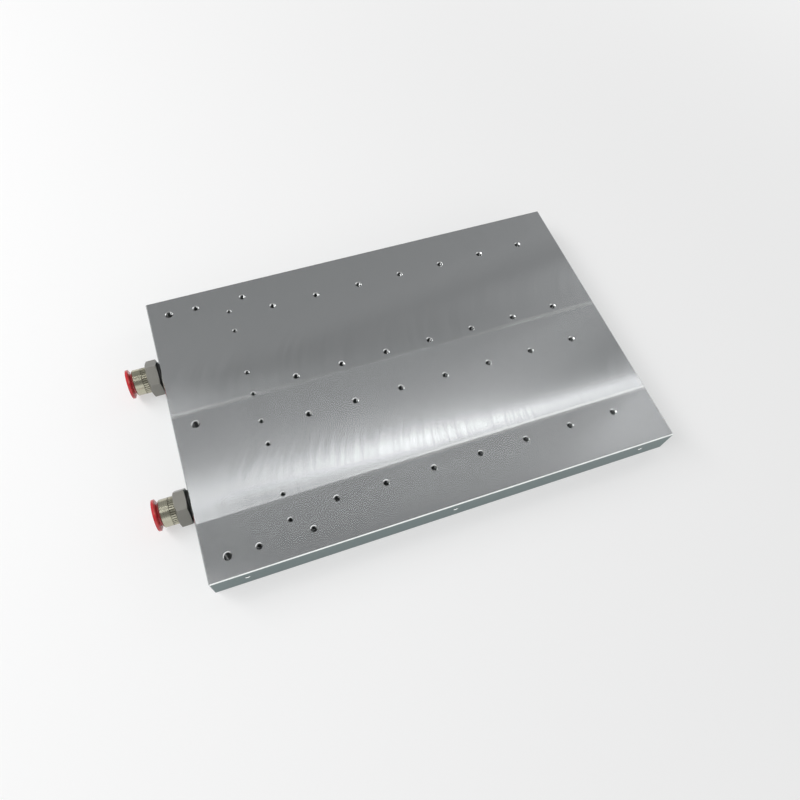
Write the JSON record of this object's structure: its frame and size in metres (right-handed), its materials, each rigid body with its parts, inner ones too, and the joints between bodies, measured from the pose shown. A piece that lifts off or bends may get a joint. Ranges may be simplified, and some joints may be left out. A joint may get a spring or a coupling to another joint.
{
  "type": "liquid cooling cold plate",
  "caption": "Flat machined aluminium cold plate with an inner coolant channel, tapped holes for devices and push-in tube fittings on one short side.",
  "frame": {"origin": "centre of the plate's underside", "axes": "+X along the plate away from the fittings, +Y across it, +Z out of the device face"},
  "size_m": [0.3221, 0.2, 0.0242],
  "materials": {
    "plate_aluminium": "fly-cut and finely brushed along the plate",
    "lid_aluminium": "machined flush after welding",
    "fitting_plating": "nickel-plated, bright turned",
    "seal_rubber": "matt black",
    "spacer_plastic": "natural acetal",
    "grab_steel": "bright spring steel",
    "release_plastic": "glossy red moulding"
  },
  "bodies": {
    "plate": {"base_plate": "plate_aluminium", "channel_lid": "lid_aluminium", "inlet_fitting_body": "fitting_plating", "inlet_face_seal": "seal_rubber", "inlet_tube_seal": "seal_rubber", "inlet_spacer_ring": "spacer_plastic", "inlet_grab_ring": "grab_steel", "inlet_retaining_sleeve": "fitting_plating", "outlet_fitting_body": "fitting_plating", "outlet_face_seal": "seal_rubber", "outlet_tube_seal": "seal_rubber", "outlet_spacer_ring": "spacer_plastic", "outlet_grab_ring": "grab_steel", "outlet_retaining_sleeve": "fitting_plating"},
    "inlet_release": {"inlet_release_ring": "release_plastic"},
    "outlet_release": {"outlet_release_ring": "release_plastic"}
  },
  "joints": [
    {"name": "inlet_release_press", "type": "slide", "parent": "plate", "child": "inlet_release", "axis": [1, 0, 0], "range_m": [0, 0.0012], "stiffness_N_per_m": 2000, "springref_m": -0.0004},
    {"name": "outlet_release_press", "type": "slide", "parent": "plate", "child": "outlet_release", "axis": [1, 0, 0], "range_m": [0, 0.0012], "stiffness_N_per_m": 2000, "springref_m": -0.0004}
  ]
}
